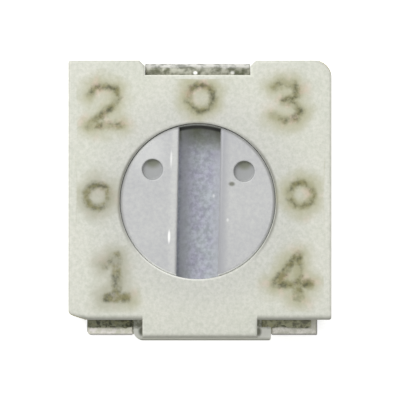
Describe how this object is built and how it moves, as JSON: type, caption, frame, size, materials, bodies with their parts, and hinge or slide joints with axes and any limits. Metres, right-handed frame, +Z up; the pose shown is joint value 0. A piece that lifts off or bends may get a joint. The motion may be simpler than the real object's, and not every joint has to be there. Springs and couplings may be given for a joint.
{
  "type": "trimmer potentiometer",
  "caption": "Square surface-mount trimmer potentiometer with a slotted screwdriver rotor flush in its top and J-bent solder terminals on two edges.",
  "frame": {"origin": "on the rotor's axis at the level of the circuit board, under the middle of the part", "axes": "+Z up out of the circuit board, +Y towards terminal 2, +X towards terminal 3's side"},
  "size_m": [0.005, 0.0053, 0.0027],
  "materials": {
    "housing_plastic": "pale grey-green moulded plastic, slightly stained",
    "base_plastic": "pale grey moulded plastic",
    "rotor_plastic": "light grey moulded plastic, satin",
    "epoxy": "cured epoxy",
    "tinned_strip": "bronze strip with dull tin plating",
    "alumina": "white sintered alumina",
    "cermet": "fired black resistive film",
    "silver_film": "fired silver conductor film",
    "solder": "bright solder",
    "silicone": "red-brown silicone rubber",
    "contact_alloy": "spring alloy sheet"
  },
  "bodies": {
    "case": {"housing": "housing_plastic", "base": "base_plastic", "epoxy_seam": "epoxy", "terminal_1": "tinned_strip", "terminal_2": "tinned_strip", "terminal_3": "tinned_strip", "substrate": "alumina", "resistive_track": "cermet", "end_pad_1": "silver_film", "end_pad_3": "silver_film", "solder_joint_1": "solder", "solder_joint_3": "solder"},
    "rotor": {"rotor": "rotor_plastic", "sealing_ring": "silicone", "wiper": "contact_alloy"}
  },
  "joints": [
    {"name": "rotor_turn", "type": "hinge", "parent": "case", "child": "rotor", "pos_m": [0, 0, 0], "axis": [0, 0, 1], "range_deg": [-133.5, 136.5]}
  ]
}
